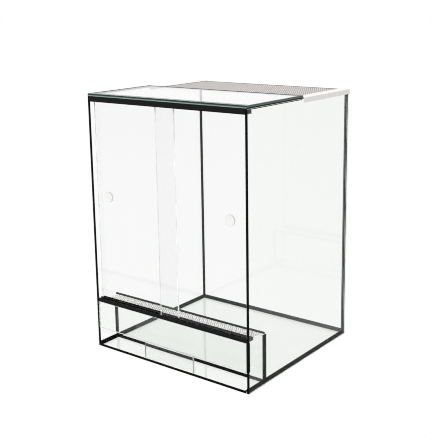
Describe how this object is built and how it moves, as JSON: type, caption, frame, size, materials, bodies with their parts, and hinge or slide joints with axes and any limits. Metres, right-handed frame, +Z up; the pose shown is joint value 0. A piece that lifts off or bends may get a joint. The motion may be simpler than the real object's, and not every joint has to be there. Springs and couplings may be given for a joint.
{
  "type": "reptile terrarium",
  "caption": "Front-ventilated glass terrarium with sliding glass doors in black runners, an open air slot under the doors and a perforated vent in the rear of the roof.",
  "frame": {"origin": "centre of the tank's underside, on the table", "axes": "+X to the right and +Z up as seen from the doors' side; the doors face -Y"},
  "size_m": [0.453, 0.4163, 0.617],
  "materials": {
    "glass": "clear float glass with polished faces and arrised edges",
    "door_glass": "clear float glass with ground edges",
    "sealant": "black silicone sealant, smooth and slightly glossy",
    "runner": "black extruded plastic, satin",
    "perforated_sheet": "light perforated sheet, satin",
    "rail": "white coated angle, satin",
    "grip": "clear moulded plastic",
    "adhesive": "clear double-sided adhesive and clear sealant"
  },
  "bodies": {
    "tank": {"base_pane": "glass", "left_side_pane": "glass", "right_side_pane": "glass", "back_pane": "glass", "substrate_pane": "glass", "front_skirt_pane": "glass", "slot_support_plate": "glass", "top_pane": "glass", "lower_runner": "runner", "upper_runner": "runner", "front_vent_strip": "perforated_sheet", "top_vent_sheet": "perforated_sheet", "left_vent_rail": "rail", "right_vent_rail": "rail", "base_left_bead": "sealant", "base_right_bead": "sealant", "base_back_bead": "sealant", "back_left_bead": "sealant", "back_right_bead": "sealant", "substrate_foot_bead": "sealant", "substrate_left_bead": "sealant", "substrate_right_bead": "sealant", "substrate_head_bead": "sealant", "skirt_left_bead": "adhesive", "skirt_right_bead": "sealant", "sill_bead": "sealant", "support_foot_bead": "adhesive", "support_head_bead": "adhesive", "upper_runner_bed": "sealant", "top_left_bead": "sealant", "top_right_bead": "sealant", "vent_sheet_bed": "sealant", "vent_seam_bead": "sealant"},
    "left_door_body": {"left_door": "door_glass", "left_finger_grip": "grip", "left_grip_pad": "adhesive"},
    "right_door_body": {"right_door": "door_glass", "right_finger_grip": "grip", "right_grip_pad": "adhesive"}
  },
  "joints": [
    {"name": "left_door_slide", "type": "slide", "parent": "tank", "child": "left_door_body", "axis": [1, 0, 0], "range_m": [0, 0.196]},
    {"name": "right_door_slide", "type": "slide", "parent": "tank", "child": "right_door_body", "axis": [-1, 0, 0], "range_m": [0, 0.196]}
  ]
}
